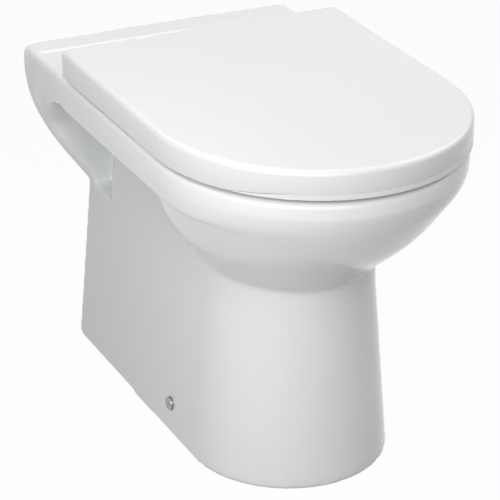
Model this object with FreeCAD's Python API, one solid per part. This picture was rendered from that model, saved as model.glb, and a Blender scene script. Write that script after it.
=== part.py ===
import FreeCAD, Part
import math
import os

# A floor-standing back-to-wall toilet pan with a hinged seat and an overlapping lid.
# Frame: +Y points to the wall, -Y is the front, +Z is up, X is across; the origin is
# on the floor under the middle of the whole part. Millimetres and degrees.

# Driving dimensions
depth = 600.0
lid_width = 360.0
rim_height = 403.0
hinge_pitch = 155.0
hinge_axis_from_wall = 136.0
overrun = 2.0
edge_tolerance = 0.01

wall_y = depth / 2
front_y = -depth / 2
hinge_y = wall_y - hinge_axis_from_wall
hinge_x = hinge_pitch / 2

# Seat and lid
lid_half_width = lid_width / 2
lid_front_axis = 194.8
lid_gap = 5.6
lid_edge_radius = 9.0
lid_skirt = 5.0
lid_plate = 6.0
lid_buffer_height = 11.0
lid_knuckle_radius = 8.0
hinge_notch_gap = 0.5
seat_clearance = 1.7
seat_thickness = 15.4
seat_rear_from_hinge = 16.0
seat_edge_radius = 4.0
seat_hole_half_width = 113.0
seat_hole_front_axis = 132.0
seat_hole_from_hinge = 137.2
seat_hole_radius = 6.0
lip_height = 6.0
lip_seam = 0.6
lip_start_from_wall = 512.0
lip_ramp_length = 50.0
lid_straight_y = front_y + lid_front_axis
seat_bottom = rim_height + lid_gap
seat_top = seat_bottom + seat_thickness
lid_underside = seat_top + lid_buffer_height
lid_height = lid_underside + lid_plate
hinge_axis_height = lid_height - lid_knuckle_radius
seat_rear_y = hinge_y - seat_rear_from_hinge
seat_half_width = lid_half_width - lid_skirt - seat_clearance
seat_front_axis = lid_front_axis - lid_skirt - seat_clearance
seat_hole_rear_axis = hinge_y - seat_hole_from_hinge - lid_straight_y

# Pan: rim and deck
lid_overhang = 2.5
rim_setback = 4.0
rim_band_height = 46.0
rim_band_straight = 23.0
rim_band_draft = 4.0
rim_band_front_draft = 11.0
rim_edge_radius = 7.0
deck_thickness = 16.0
ledge_strip_depth = 36.0
ledge_strip_height = 1.6
ledge_strip_half_width = 168.0
rim_half_width = lid_half_width - lid_overhang
rim_front_axis = lid_front_axis - rim_setback
rim_straight_y = lid_straight_y

# Pan: bowl opening and outer bowl
rim_width = 39.5
rim_front_width = 33.8
opening_from_hinge = 79.2
bowl_centre_shift = 45.0
bowl_side_share = 0.972
bowl_height_shares = (0.930, 0.881, 0.844, 0.769, 0.695, 0.620, 0.566)
bowl_size_shares = (0.992, 0.976, 0.944, 0.857, 0.732, 0.588, 0.500)
bowl_rear_shares = (0.58, 0.60, 0.63, 0.74, 0.87, 1.0, 1.0)
bowl_shift_shares = (0.07, 0.20, 0.31, 0.51, 0.73, 0.93, 1.09)
opening_half_width = rim_half_width - rim_width
opening_front_axis = rim_front_axis - rim_front_width
opening_rear_axis = hinge_y - opening_from_hinge - rim_straight_y

# Pan: bowl cavity, trap and pipe ends
rim_lip_height = 20.0
rim_wall = 25.5
rim_front_wall = 20.8
cavity_from_hinge = 72.2
bowl_back_from_straight = 45.0
cavity_height_shares = (0.950, 0.868, 0.764, 0.670, 0.571, 0.471)
cavity_width_shares = (1.0, 0.967, 0.829, 0.658, 0.474, 0.303)
cavity_front_shares = (1.0, 0.924, 0.710, 0.455, 0.215, 0.185)
cavity_rear_shares = (1.0, 0.878, 0.675, 0.487, 0.289, 0.137)
bowl_wall = 12.0
sump_radius = 44.0
sump_drop = 22.0
sump_behind_bowl = 10.0
trap_bore_radius = 40.0
outlet_wall = 11.0
outlet_height = 185.0
outlet_setback = 14.0
trap_start_behind_sump = 33.0
trap_start_drop = 22.0
trap_crest_below_rim = 113.0
trap_crest_share = 0.46
trap_foot_share = 0.67
trap_bend_radius = 58.0
bend_leg_share = 0.6
inlet_below_rim = 51.0
inlet_bore_radius = 27.5
inlet_wall = 9.5
inlet_setback = 8.0
cavity_half_width = rim_half_width - rim_wall
cavity_front_axis = rim_front_axis - rim_front_wall
cavity_rear_axis = hinge_y - cavity_from_hinge - rim_straight_y
sump_y = rim_straight_y + sump_behind_bowl
sump_height = rim_height * cavity_height_shares[-1] - sump_drop
outlet_outer_radius = trap_bore_radius + outlet_wall
outlet_end_y = wall_y - outlet_setback
inlet_height = rim_height - inlet_below_rim

# Pan: foot, wall flange and side pockets
foot_half_width = 118.5
foot_rear_half_width = 117.5
foot_front_axis = 122.5
foot_behind_bowl = 45.2
neck_height = 213.0
neck_half_width = 102.0
neck_rear_half_width = 97.9
neck_front_axis = 106.0
neck_top_half_width = 100.5
neck_top_rear_half_width = 97.0
neck_top_front_axis = 102.0
neck_top_below_rim = 31.0
foot_wall = 12.0
flange_thickness = 20.0
flange_half_width = 179.0
flange_corner_radius = 10.0
flange_knee_below_rim = 14.0
flange_bulge_half_width = 166.0
flange_bulge_share = 0.563
flange_hip_half_width = 136.0
flange_hip_share = 0.279
flange_edge_radius = 12.0
blend_length = 85.0
blend_height = 52.0
blend_sag_share = 0.30
corner_slant_share = 0.5
pocket_depth = 24.0
pocket_length = 50.0
pocket_lean = 26.0
pocket_wall = 9.0
wing_cavity_margin = 14.0
wing_cavity_front_from_wall = 190.0
deck_hole_radius = 7.5
fastener_room_gap = 1.5
fastener_room_height = 40.0
side_hole_height = 36.0
side_hole_behind_foot = 74.0
side_hole_radius = 5.5
spot_face_gap = 0.7
spot_face_depth = 1.5
foot_straight_y = rim_straight_y + foot_behind_bowl
side_hole_y = foot_straight_y + side_hole_behind_foot

# Hinges
pin_radius = 3.0
pin_clearance = 0.05
bush_radius = 5.0
lid_bush_length = 12.0
pin_end_gap = 1.0
post_width = 16.0
post_neck_length = 8.0
post_neck_behind_axis = 0.5
post_base_radius = 17.0
post_base_thickness = 2.5
gasket_thickness = 1.5
hinge_side_gap = 0.5
seat_lug_width = 14.0
lug_root = 6.0
lug_upper_angle = 200.0
lug_lower_angle = 285.0
stud_radius = 3.0
stud_engagement = 12.0
stud_length = 58.0
bush_flange_radius = 13.0
bush_flange_thickness = 4.0
washer_radius = 12.0
washer_thickness = 2.0
washer_clearance = 0.3
nut_hub_radius = 8.0
nut_height = 9.0
wing_length = 13.0
wing_thickness = 3.0
wing_height = 14.0
washer_top_z = rim_height - deck_thickness - bush_flange_thickness
neck_rear_y = hinge_y + post_neck_behind_axis
stud_y = neck_rear_y - post_neck_length / 2

# Buffers
seat_buffer_radius = 8.0
seat_buffer_stem_radius = 3.5
seat_buffer_stem = 5.0
lid_buffer_radius = 6.0
lid_buffer_stem_radius = 2.5
lid_buffer_stem = 3.0
buffer_angle = 55.0
buffer_rear_from_hinge = 94.0

# Floor fixing
bracket_plate = 4.0
bracket_length = 50.0
bracket_reach = 50.0
bracket_rise = 56.0
bracket_gap = 0.4
bracket_boss_radius = 9.0
bracket_boss_length = 12.0
bracket_slot_radius = 4.25
bracket_hole_from_face = 28.0
screw_radius = 2.5
screw_clearance = 0.2
screw_head_radius = 6.0
screw_head_height = 2.4
cap_radius = 8.5
cap_height = 4.5
cap_wall = 1.2
cap_dome_radius = 3.4
cap_dome_rise = 0.8
cap_edge_radius = 1.0
spot_face_radius = cap_radius + spot_face_gap

# Flush inlet seal
seal_length = 34.0
seal_wall = 5.0
seal_flange_width = 5.5
seal_flange_thickness = 5.0
seal_bore_radius = inlet_bore_radius - seal_wall
seal_flange_radius = inlet_bore_radius + seal_flange_width

parts = {}


def vec(x, y, z):
    return FreeCAD.Vector(x, y, z)


def half_oval(half_width, reach, centre_y, z):
    """Half an ellipse from +X to -X that bulges to -Y by reach (to +Y where reach is negative)."""
    arc = Part.Arc(vec(1, 0, 0), vec(0, -1, 0), vec(-1, 0, 0)).toShape()
    matrix = FreeCAD.Matrix()
    matrix.A11 = half_width
    matrix.A22 = reach
    matrix.A24 = centre_y
    matrix.A34 = z
    return arc.transformGeometry(matrix)


def d_wire(half_width, rear_y, straight_y, reach, z, rear_half_width=None):
    """A D-shaped outline: square rear, straight sides and a half-oval front."""
    rear_x = rear_half_width or half_width
    corners = [vec(-half_width, straight_y, z), vec(-rear_x, rear_y, z)]
    corners += [vec(rear_x, rear_y, z), vec(half_width, straight_y, z)]
    edges = [Part.makeLine(a, b) for a, b in zip(corners, corners[1:])]
    return Part.Wire([half_oval(half_width, reach, straight_y, z)] + edges)


def egg_wire(half_width, front, rear, centre_y, z):
    """A closed egg outline from two half ovals."""
    ahead = half_oval(half_width, front, centre_y, z)
    behind = half_oval(half_width, -rear, centre_y, z)
    return Part.Wire([ahead, behind])


def raised(wire, height):
    """A solid prism standing on a flat outline."""
    return Part.Face(wire).extrude(vec(0, 0, height))


def box(x0, x1, y0, y1, z0, z1):
    return Part.makeBox(x1 - x0, y1 - y0, z1 - z0, vec(x0, y0, z0))


def rod(radius, start, direction, length):
    return Part.makeCylinder(radius, length, start, direction)


def ring(outer, inner, start, direction, length):
    return rod(outer, start, direction, length).cut(rod(inner, start, direction, length))


def side_profile(points, x0, x1):
    """A prism across X from a closed outline of (y, z) points."""
    corners = [vec(x0, y, z) for y, z in points]
    face = Part.Face(Part.makePolygon(corners + corners[:1]))
    return face.extrude(vec(x1 - x0, 0, 0))


def level_edges(shape, z):
    """The edges of a shape that lie flat at height z."""
    flat = []
    for edge in shape.Edges:
        bounds = edge.BoundBox
        if max(abs(bounds.ZMin - z), abs(bounds.ZMax - z)) < edge_tolerance:
            flat.append(edge)
    return flat


def group(shapes):
    return Part.makeCompound(shapes)


across = vec(1, 0, 0)
upward = vec(0, 0, 1)
downward = vec(0, 0, -1)
toward_wall = vec(0, 1, 0)
sides = {"left": -1, "right": 1}


def pedestal(inset, bottom, top):
    """The tapered foot column, or its inside when inset by the wall; the back runs on to the wall."""
    levels = [
        (foot_half_width, foot_rear_half_width, foot_front_axis, bottom),
        (neck_half_width, neck_rear_half_width, neck_front_axis, neck_height),
        (neck_top_half_width, neck_top_rear_half_width, neck_top_front_axis, top),
    ]
    wires = []
    for half_width, rear_half_width, reach, z in levels:
        wires.append(d_wire(half_width - inset, wall_y, foot_straight_y, reach - inset, z,
                            rear_half_width - inset))
    return Part.makeLoft(wires, True, True)


def rim_band():
    """The upright band under the rim, drafted inward at its lower edge, with a rounded top edge."""
    low = rim_height - rim_band_height
    knee = rim_height - rim_band_straight
    outline = d_wire(rim_half_width, wall_y, rim_straight_y, rim_front_axis, knee)
    upper = raised(outline, rim_band_straight)
    edges = [edge for edge in level_edges(upper, rim_height) if edge.BoundBox.YMin < wall_y - overrun]
    upper = upper.makeFillet(rim_edge_radius, edges)
    wires = [
        d_wire(rim_half_width - rim_band_draft, wall_y, rim_straight_y,
               rim_front_axis - rim_band_front_draft, low),
        outline,
    ]
    return upper.fuse(Part.makeLoft(wires, True, True))


def outer_bowl():
    """The egg-shaped outside of the bowl, sinking into the foot column."""
    wires = []
    rows = zip(bowl_height_shares, bowl_size_shares, bowl_rear_shares, bowl_shift_shares)
    for height, size, rear, shift in rows:
        centre_y = rim_straight_y + bowl_centre_shift * shift
        wires.append(egg_wire(rim_half_width * size * bowl_side_share, rim_front_axis * size,
                              opening_rear_axis * rear, centre_y, rim_height * height))
    return Part.makeLoft(wires, True, False)


def flange_side(side):
    """One side of the flange outline, from the deck round its corner and down to the foot column."""
    corner = vec(side * (flange_half_width - flange_corner_radius), wall_y,
                 rim_height - flange_corner_radius)
    slant = flange_corner_radius * math.sqrt(corner_slant_share)
    top = corner + upward * flange_corner_radius
    flank = corner + across * (side * flange_corner_radius)
    knee = vec(side * flange_half_width, wall_y, rim_height - flange_knee_below_rim)
    rise = rim_height - neck_height
    sweep = Part.BSplineCurve()
    sweep.interpolate([
        knee,
        vec(side * flange_bulge_half_width, wall_y, neck_height + rise * flange_bulge_share),
        vec(side * flange_hip_half_width, wall_y, neck_height + rise * flange_hip_share),
        vec(side * neck_rear_half_width, wall_y, neck_height),
    ])
    rounded = Part.Arc(top, corner + vec(side * slant, 0, slant), flank).toShape()
    return [rounded, Part.makeLine(flank, knee), sweep.toShape()]


def flange_plate(thickness):
    """The plate against the wall, whose sides sweep from the deck down to the foot column."""
    right = flange_side(1)
    left = flange_side(-1)
    top = Part.makeLine(left[0].Vertexes[0].Point, right[0].Vertexes[0].Point)
    foot = Part.makeLine(left[-1].Vertexes[-1].Point, right[-1].Vertexes[-1].Point)
    outline = Part.Wire(Part.__sortEdges__([top, foot] + right + left))
    return Part.Face(outline).extrude(vec(0, -thickness, 0))


def corner_fill():
    """A prism across X that fills the corner under the rim band, with a hollow curve for its lower face."""
    rear_y = wall_y - flange_thickness
    low = rim_height - rim_band_height
    corner = vec(0, rear_y, low)
    ahead = corner - toward_wall * blend_length
    below = corner - upward * blend_height
    middle = (ahead + below) / 2
    hollow = Part.Arc(ahead, middle + (corner - middle) * blend_sag_share, below).toShape()
    edges = [hollow, Part.makeLine(below, corner), Part.makeLine(corner, ahead)]
    face = Part.Face(Part.Wire(edges))
    face.translate(across * -lid_width)
    return face.extrude(across * (lid_width + lid_width))


def wall_flange():
    """The rounded plate with the curved blends that join it to the rim band."""
    plate = flange_plate(flange_thickness)
    front = []
    for edge in plate.Edges:
        bounds = edge.BoundBox
        if bounds.YMax < wall_y - flange_thickness / 2 and bounds.ZLength > flange_edge_radius:
            front.append(edge)
    plate = plate.makeFillet(flange_edge_radius, front)
    return plate.fuse(flange_plate(flange_thickness + blend_length).common(corner_fill()))


def bowl_cavity(grow):
    """The inside of the bowl below the rim lip, grown by the bowl wall for its outside."""
    wires = []
    rows = list(zip(cavity_height_shares, cavity_width_shares, cavity_front_shares, cavity_rear_shares))
    for index, (height, width, front, rear) in enumerate(rows):
        sink_share = index / (len(rows) - 1)
        wires.append(egg_wire(cavity_half_width * width + grow, cavity_front_axis * front + grow,
                              cavity_rear_axis * rear + grow, rim_straight_y,
                              rim_height * height - grow * sink_share))
    hollow = Part.makeLoft(wires, True, False)
    sump = vec(0, sump_y, sump_height)
    hollow = hollow.fuse(Part.makeSphere(sump_radius + grow, sump))
    if grow:
        hollow = hollow.fuse(raised(wires[0], rim_lip_height))
    return hollow


def bent_path(points, bend_radius):
    """A wire in the plane x = 0 of straight runs joined by tangent arcs as large as the runs allow."""
    edges = []
    start = points[0]
    for before, corner, after in zip(points, points[1:], points[2:]):
        shorter_run = min(corner.distanceToPoint(before), corner.distanceToPoint(after))
        back = (before - corner).normalize()
        ahead = (after - corner).normalize()
        half_angle = back.getAngle(ahead) / 2
        tangent = min(bend_radius / math.tan(half_angle), shorter_run * bend_leg_share)
        radius = tangent * math.tan(half_angle)
        middle = (back + ahead).normalize()
        first = corner + back * tangent
        last = corner + ahead * tangent
        top = corner + middle * (radius / math.sin(half_angle) - radius)
        edges.append(Part.makeLine(start, first))
        edges.append(Part.Arc(first, top, last).toShape())
        start = last
    edges.append(Part.makeLine(start, points[-1]))
    return Part.Wire(edges)


def trapway(radius, end_y):
    """The trap from the sump over its crest and out to the back, as a round tube of one radius."""
    trap_run = outlet_end_y - sump_y
    points = [
        vec(0, sump_y + trap_start_behind_sump, sump_height - trap_start_drop),
        vec(0, sump_y + trap_run * trap_crest_share, rim_height - trap_crest_below_rim),
        vec(0, sump_y + trap_run * trap_foot_share, outlet_height),
        vec(0, end_y, outlet_height),
    ]
    path = bent_path(points, trap_bend_radius)
    run = (points[1] - points[0]).normalize()
    section = Part.Wire(Part.makeCircle(radius, points[0], run))
    return path.makePipeShell([section], True, False)


def pocket(side, grow):
    """A finger pocket in the foot column beside the flange; grow adds the wall kept round it."""
    y1 = wall_y - flange_thickness + grow
    y0 = wall_y - flange_thickness - pocket_length - grow
    z0 = neck_height - grow
    z1 = rim_height - rim_band_height
    inner = side * (neck_top_rear_half_width - pocket_depth - grow)
    outer = side * (neck_half_width + overrun)
    points = [(y0, z0), (y1, z0), (y1, z1), (y0 - pocket_lean, z1)]
    return side_profile(points, inner, outer).cut(corner_fill())


def pan():
    """The casting: its outside forms are fused, then the foot, the bowl, the trap and the holes are cut out."""
    body = pedestal(0, 0, rim_height - neck_top_below_rim)
    for piece in (outer_bowl(), rim_band(), wall_flange()):
        body = body.fuse(piece)
    strip = box(-ledge_strip_half_width, ledge_strip_half_width, wall_y - ledge_strip_depth, wall_y,
                rim_height - ledge_strip_height, rim_height + ledge_strip_height)
    body = body.fuse(strip)

    bowl_shell = bowl_cavity(bowl_wall)
    bowl_back_y = rim_straight_y + bowl_back_from_straight
    behind = box(-rim_half_width, rim_half_width, bowl_back_y, wall_y, 0, rim_height)
    body = body.fuse(bowl_shell.common(behind))

    hollow = pedestal(foot_wall, 0, rim_height - deck_thickness)
    for side in sides.values():
        hollow = hollow.cut(pocket(side, pocket_wall))
    hollow = hollow.cut(bowl_shell)
    hollow = hollow.cut(trapway(outlet_outer_radius, outlet_end_y))
    inlet_start = vec(0, rim_straight_y, inlet_height)
    inlet_length = wall_y - inlet_setback - rim_straight_y
    hollow = hollow.cut(rod(inlet_bore_radius + inlet_wall, inlet_start, toward_wall, inlet_length))
    body = body.cut(hollow)

    opening = egg_wire(opening_half_width, opening_front_axis, opening_rear_axis, rim_straight_y,
                       rim_height - rim_lip_height - overrun)
    body = body.cut(raised(opening, rim_lip_height + overrun + overrun))
    body = body.cut(bowl_cavity(0))
    body = body.cut(trapway(trap_bore_radius, wall_y))
    body = body.cut(rod(inlet_bore_radius, inlet_start, toward_wall, inlet_length + overrun))

    for side in sides.values():
        body = body.cut(pocket(side, 0))
        inner = side * (neck_half_width + overrun)
        outer = side * (rim_half_width - wing_cavity_margin)
        wing = box(min(inner, outer), max(inner, outer), wall_y - wing_cavity_front_from_wall,
                   wall_y - flange_thickness - blend_length,
                   rim_height - rim_band_height - overrun, rim_height - deck_thickness)
        body = body.cut(wing)
        hole_top = vec(side * hinge_x, stud_y, rim_height + overrun)
        body = body.cut(rod(deck_hole_radius, hole_top, downward, deck_thickness + overrun + overrun))
        under = vec(side * hinge_x, stud_y, rim_height - deck_thickness)
        body = body.cut(rod(bush_flange_radius + fastener_room_gap, under, downward, fastener_room_height))
        start = vec(side * seat_face_x, side_hole_y, side_hole_height)
        outward = vec(side, 0, 0)
        body = body.cut(rod(spot_face_radius, start, outward, spot_face_depth + foot_wall))
        body = body.cut(rod(side_hole_radius, start, outward * -1, foot_wall + overrun))
    return body.removeSplitter()


# The foot's side wall at the height of the side screws


def foot_side_x(y, z):
    """Half the foot's outside width at a place on its straight sides."""
    rise_share = z / neck_height
    back_share = (y - foot_straight_y) / (wall_y - foot_straight_y)
    front = foot_half_width + (neck_half_width - foot_half_width) * rise_share
    rear = foot_rear_half_width + (neck_rear_half_width - foot_rear_half_width) * rise_share
    return front + (rear - front) * back_share


seat_face_x = foot_side_x(side_hole_y + spot_face_radius, side_hole_height) - spot_face_depth
bracket_rear_y = side_hole_y + bracket_length / 2
bracket_face_x = foot_side_x(bracket_rear_y, bracket_rise) - foot_wall - bracket_gap

# Places across X on the right-hand hinge, from the middle outward
lug_outer_x = hinge_x - post_width / 2 - hinge_side_gap
lug_inner_x = lug_outer_x - seat_lug_width
notch_inner_x = lug_inner_x - hinge_side_gap
notch_outer_x = hinge_x + post_width / 2 + hinge_side_gap


def mirrored(shape, side):
    """The right-hand shape itself, or its mirror image for the left."""
    if side > 0:
        return shape
    return shape.mirror(vec(0, 0, 0), across)


def ring_places(half_width, reach, rear_y):
    """Two buffer places on each side of a ring: one on the straight, one on the curved front."""
    angle = math.radians(buffer_angle)
    front = (half_width * math.cos(angle), lid_straight_y - reach * math.sin(angle))
    places = []
    for side in sides.values():
        places.append((side * half_width, rear_y))
        places.append((side * front[0], front[1]))
    return places


def seat_buffer_places():
    half_width = (opening_half_width + seat_half_width) / 2
    reach = (opening_front_axis + seat_front_axis) / 2
    return ring_places(half_width, reach, hinge_y - buffer_rear_from_hinge)


def lid_buffer_places():
    half_width = (seat_hole_half_width + seat_half_width) / 2
    reach = (seat_hole_front_axis + seat_front_axis) / 2
    return ring_places(half_width, reach, hinge_y - buffer_rear_from_hinge)


def front_wedge(height):
    """The space of the seat's front lip, which rises from nothing at the sides to its full height."""
    start_y = wall_y - lip_start_from_wall
    full_y = start_y - lip_ramp_length
    low = seat_bottom - overrun
    drop = lip_height - height
    points = [(start_y, low), (start_y, seat_bottom - drop), (full_y, seat_bottom + height)]
    points += [(front_y - overrun, seat_bottom + height), (front_y - overrun, low)]
    return side_profile(points, -lid_width, lid_width)


def lid():
    outline = (lid_half_width, hinge_y, lid_straight_y, lid_front_axis, seat_bottom)
    shell = raised(d_wire(*outline), lid_height - seat_bottom)
    top = [edge for edge in level_edges(shell, lid_height) if edge.BoundBox.YMin < hinge_y - overrun]
    shell = shell.makeFillet(lid_edge_radius, top)
    inside = d_wire(lid_half_width - lid_skirt, hinge_y + overrun, lid_straight_y,
                    lid_front_axis - lid_skirt, seat_bottom - overrun)
    shell = shell.cut(raised(inside, lid_underside - seat_bottom + overrun))
    roll_x = lid_half_width - lid_edge_radius
    roll = rod(lid_knuckle_radius, vec(-roll_x, hinge_y, hinge_axis_height), across, roll_x + roll_x)
    shell = shell.fuse(roll)
    shell = shell.cut(front_wedge(lip_height))
    for side in sides.values():
        notch = rod(lid_knuckle_radius + hinge_notch_gap, vec(notch_inner_x, hinge_y, hinge_axis_height),
                    across, notch_outer_x - notch_inner_x)
        bore = rod(bush_radius, vec(notch_inner_x - lid_bush_length, hinge_y, hinge_axis_height),
                   across, notch_outer_x - notch_inner_x + lid_bush_length + lid_bush_length)
        shell = shell.cut(mirrored(notch.fuse(bore), side))
    for x, y in lid_buffer_places():
        shell = shell.cut(rod(lid_buffer_stem_radius, vec(x, y, lid_underside), upward, lid_buffer_stem))
    return shell.removeSplitter()


def seat_ring():
    outline = d_wire(seat_half_width, seat_rear_y, lid_straight_y, seat_front_axis, seat_bottom)
    body = raised(outline, seat_thickness)
    rim = [edge for edge in level_edges(body, seat_top) if edge.BoundBox.YMin < seat_rear_y - overrun]
    body = body.makeFillet(seat_edge_radius, rim)
    hole = egg_wire(seat_hole_half_width, seat_hole_front_axis, seat_hole_rear_axis, lid_straight_y,
                    seat_bottom)
    body = body.cut(raised(hole, seat_thickness))
    inner = [edge for edge in level_edges(body, seat_top)
             if edge.BoundBox.XMax <= seat_hole_half_width + overrun
             and edge.BoundBox.YMax < seat_rear_y - overrun
             and edge.BoundBox.YMin > lid_straight_y - seat_hole_front_axis - overrun]
    body = body.makeFillet(seat_hole_radius, inner)
    lip = d_wire(lid_half_width, hinge_y, lid_straight_y, lid_front_axis, seat_bottom)
    lip = raised(lip, seat_thickness)
    core = d_wire(seat_half_width - seat_edge_radius, seat_rear_y, lid_straight_y,
                  seat_front_axis - seat_edge_radius, seat_bottom)
    lip = lip.cut(raised(core, seat_thickness)).common(front_wedge(lip_height - lip_seam))
    body = body.fuse(lip)
    root_y = seat_rear_y - lug_root
    arm_points = [(root_y, seat_bottom), (root_y, seat_top)]
    for angle in (lug_upper_angle, lug_lower_angle):
        turn = math.radians(angle)
        arm_points.append((hinge_y + lid_knuckle_radius * math.cos(turn),
                           hinge_axis_height + lid_knuckle_radius * math.sin(turn)))
    arm_points.append((seat_rear_y, seat_bottom))
    for side in sides.values():
        start = vec(lug_inner_x, hinge_y, hinge_axis_height)
        lug = rod(lid_knuckle_radius, start, across, seat_lug_width)
        lug = lug.fuse(side_profile(arm_points, lug_inner_x, lug_outer_x))
        body = body.fuse(mirrored(lug, side))
        body = body.cut(mirrored(rod(bush_radius, start, across, seat_lug_width), side))
    for x, y in seat_buffer_places():
        body = body.cut(rod(seat_buffer_stem_radius, vec(x, y, seat_bottom), upward, seat_buffer_stem))
    return body.removeSplitter()


def hinge_post():
    """A post with a round base, a neck set forward of the axis and a barrel that holds the pin."""
    base_z = rim_height + gasket_thickness
    base = vec(hinge_x, stud_y, base_z)
    post = rod(post_base_radius, base, upward, post_base_thickness)
    post = post.fuse(box(hinge_x - post_width / 2, hinge_x + post_width / 2,
                         neck_rear_y - post_neck_length, neck_rear_y, base_z, hinge_axis_height))
    barrel_start = vec(hinge_x - post_width / 2, hinge_y, hinge_axis_height)
    post = post.fuse(rod(lid_knuckle_radius, barrel_start, across, post_width))
    post = post.cut(rod(pin_radius, barrel_start, across, post_width))
    return post.cut(rod(stud_radius, base, upward, stud_engagement)).removeSplitter()


def hinge_pin():
    start_x = notch_inner_x - lid_bush_length + pin_end_gap
    end_x = notch_outer_x + lid_bush_length - pin_end_gap
    return rod(pin_radius, vec(start_x, hinge_y, hinge_axis_height), across, end_x - start_x)


def hinge_gasket():
    return ring(post_base_radius, stud_radius, vec(hinge_x, stud_y, rim_height), upward, gasket_thickness)


def hinge_stud():
    top = vec(hinge_x, stud_y, rim_height + gasket_thickness + stud_engagement)
    return rod(stud_radius, top, downward, stud_length)


def deck_bush():
    """A rubber sleeve in the deck hole with a flange under the deck."""
    top = vec(hinge_x, stud_y, rim_height)
    under = vec(hinge_x, stud_y, rim_height - deck_thickness)
    sleeve = rod(deck_hole_radius, top, downward, deck_thickness + bush_flange_thickness)
    sleeve = sleeve.fuse(rod(bush_flange_radius, under, downward, bush_flange_thickness))
    return sleeve.cut(rod(stud_radius, top, downward, deck_thickness + bush_flange_thickness))


def stud_washer():
    top = vec(hinge_x, stud_y, washer_top_z)
    return ring(washer_radius, stud_radius + washer_clearance, top, downward, washer_thickness)


def wing_nut():
    top_z = washer_top_z - washer_thickness
    top = vec(hinge_x, stud_y, top_z)
    nut = rod(nut_hub_radius, top, downward, nut_height)
    wings = box(hinge_x - wing_thickness / 2, hinge_x + wing_thickness / 2,
                stud_y - nut_hub_radius - wing_length, stud_y + nut_hub_radius + wing_length,
                top_z - wing_height, top_z - washer_thickness)
    return nut.fuse(wings).cut(rod(stud_radius, top, downward, stud_length))


def lid_bushes():
    """The two bushes of one hinge, pressed into the lid's rolled rear edge beside the notch."""
    bushes = []
    for start_x in (notch_inner_x - lid_bush_length, notch_outer_x):
        start = vec(start_x, hinge_y, hinge_axis_height)
        bushes.append(ring(bush_radius, pin_radius + pin_clearance, start, across, lid_bush_length))
    return bushes


def seat_bush():
    start = vec(lug_inner_x, hinge_y, hinge_axis_height)
    return ring(bush_radius, pin_radius + pin_clearance, start, across, seat_lug_width)


def seat_buffer(x, y):
    pad = rod(seat_buffer_radius, vec(x, y, rim_height), upward, lid_gap)
    return pad.fuse(rod(seat_buffer_stem_radius, vec(x, y, seat_bottom), upward, seat_buffer_stem))


def lid_buffer(x, y):
    pad = rod(lid_buffer_radius, vec(x, y, seat_top), upward, lid_buffer_height)
    return pad.fuse(rod(lid_buffer_stem_radius, vec(x, y, lid_underside), upward, lid_buffer_stem))


def floor_bracket():
    """An angle bracket that is screwed to the floor inside the foot and takes the side screw."""
    y0 = side_hole_y - bracket_length / 2
    y1 = side_hole_y + bracket_length / 2
    base = box(bracket_face_x - bracket_reach, bracket_face_x, y0, y1, 0, bracket_plate)
    upright = box(bracket_face_x - bracket_plate, bracket_face_x, y0, y1, 0, bracket_rise)
    boss_start = vec(bracket_face_x, side_hole_y, side_hole_height)
    boss_length = bracket_plate + bracket_boss_length
    boss = rod(bracket_boss_radius, boss_start, across * -1, boss_length)
    bracket = base.fuse(upright).fuse(boss)
    bracket = bracket.cut(rod(screw_radius, boss_start, across * -1, boss_length))
    hole = vec(bracket_face_x - bracket_hole_from_face, side_hole_y, 0)
    return bracket.cut(rod(bracket_slot_radius, hole, upward, bracket_plate)).removeSplitter()


def screw_sleeve():
    start = vec(bracket_face_x, side_hole_y, side_hole_height)
    length = seat_face_x - bracket_face_x
    return ring(side_hole_radius, screw_radius + screw_clearance, start, across, length)


def side_screw():
    head = vec(seat_face_x, side_hole_y, side_hole_height)
    shank_length = seat_face_x - bracket_face_x + bracket_plate + bracket_boss_length
    shank = rod(screw_radius, head, across * -1, shank_length)
    return shank.fuse(rod(screw_head_radius, head, across, screw_head_height))


def screw_cap():
    start = vec(seat_face_x, side_hole_y, side_hole_height)
    cap = rod(cap_radius, start, across, cap_height)
    rim = [edge for edge in cap.Edges if edge.BoundBox.XMin > seat_face_x + cap_height / 2]
    cap = cap.makeFillet(cap_edge_radius, rim)
    cap = cap.cut(rod(cap_radius - cap_wall, start, across, cap_height - cap_wall))
    crown = vec(seat_face_x + cap_height - cap_wall, side_hole_y, side_hole_height)
    return cap.fuse(rod(cap_dome_radius, crown, across, cap_wall + cap_dome_rise))


def inlet_seal():
    end = vec(0, wall_y - inlet_setback, inlet_height)
    seal = rod(inlet_bore_radius, end, toward_wall * -1, seal_length)
    seal = seal.fuse(rod(seal_flange_radius, end, toward_wall, seal_flange_thickness))
    rear = end + toward_wall * seal_flange_thickness
    return seal.cut(rod(seal_bore_radius, rear, toward_wall * -1, seal_length + seal_flange_thickness))


parts["pan"] = pan()
parts["seat_ring"] = seat_ring()
parts["lid"] = lid()
parts["inlet_seal"] = inlet_seal()
parts["seat_buffers"] = group([seat_buffer(x, y) for x, y in seat_buffer_places()])
parts["lid_buffers"] = group([lid_buffer(x, y) for x, y in lid_buffer_places()])

single_pieces = {
    "hinge_post": hinge_post,
    "hinge_pin": hinge_pin,
    "hinge_gasket": hinge_gasket,
    "deck_bush": deck_bush,
    "floor_bracket": floor_bracket,
    "screw_cap": screw_cap,
}
for hand, side in sides.items():
    for name, make in single_pieces.items():
        parts[f"{hand}_{name}"] = mirrored(make(), side)

paired_fasteners = {
    "hinge_studs": hinge_stud,
    "stud_washers": stud_washer,
    "wing_nuts": wing_nut,
    "seat_hinge_bushes": seat_bush,
    "screw_sleeves": screw_sleeve,
    "side_screws": side_screw,
}
for name, make in paired_fasteners.items():
    parts[name] = group([mirrored(make(), side) for side in sides.values()])
lid_bush_set = [mirrored(bush, side) for side in sides.values() for bush in lid_bushes()]
parts["lid_hinge_bushes"] = group(lid_bush_set)

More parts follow.
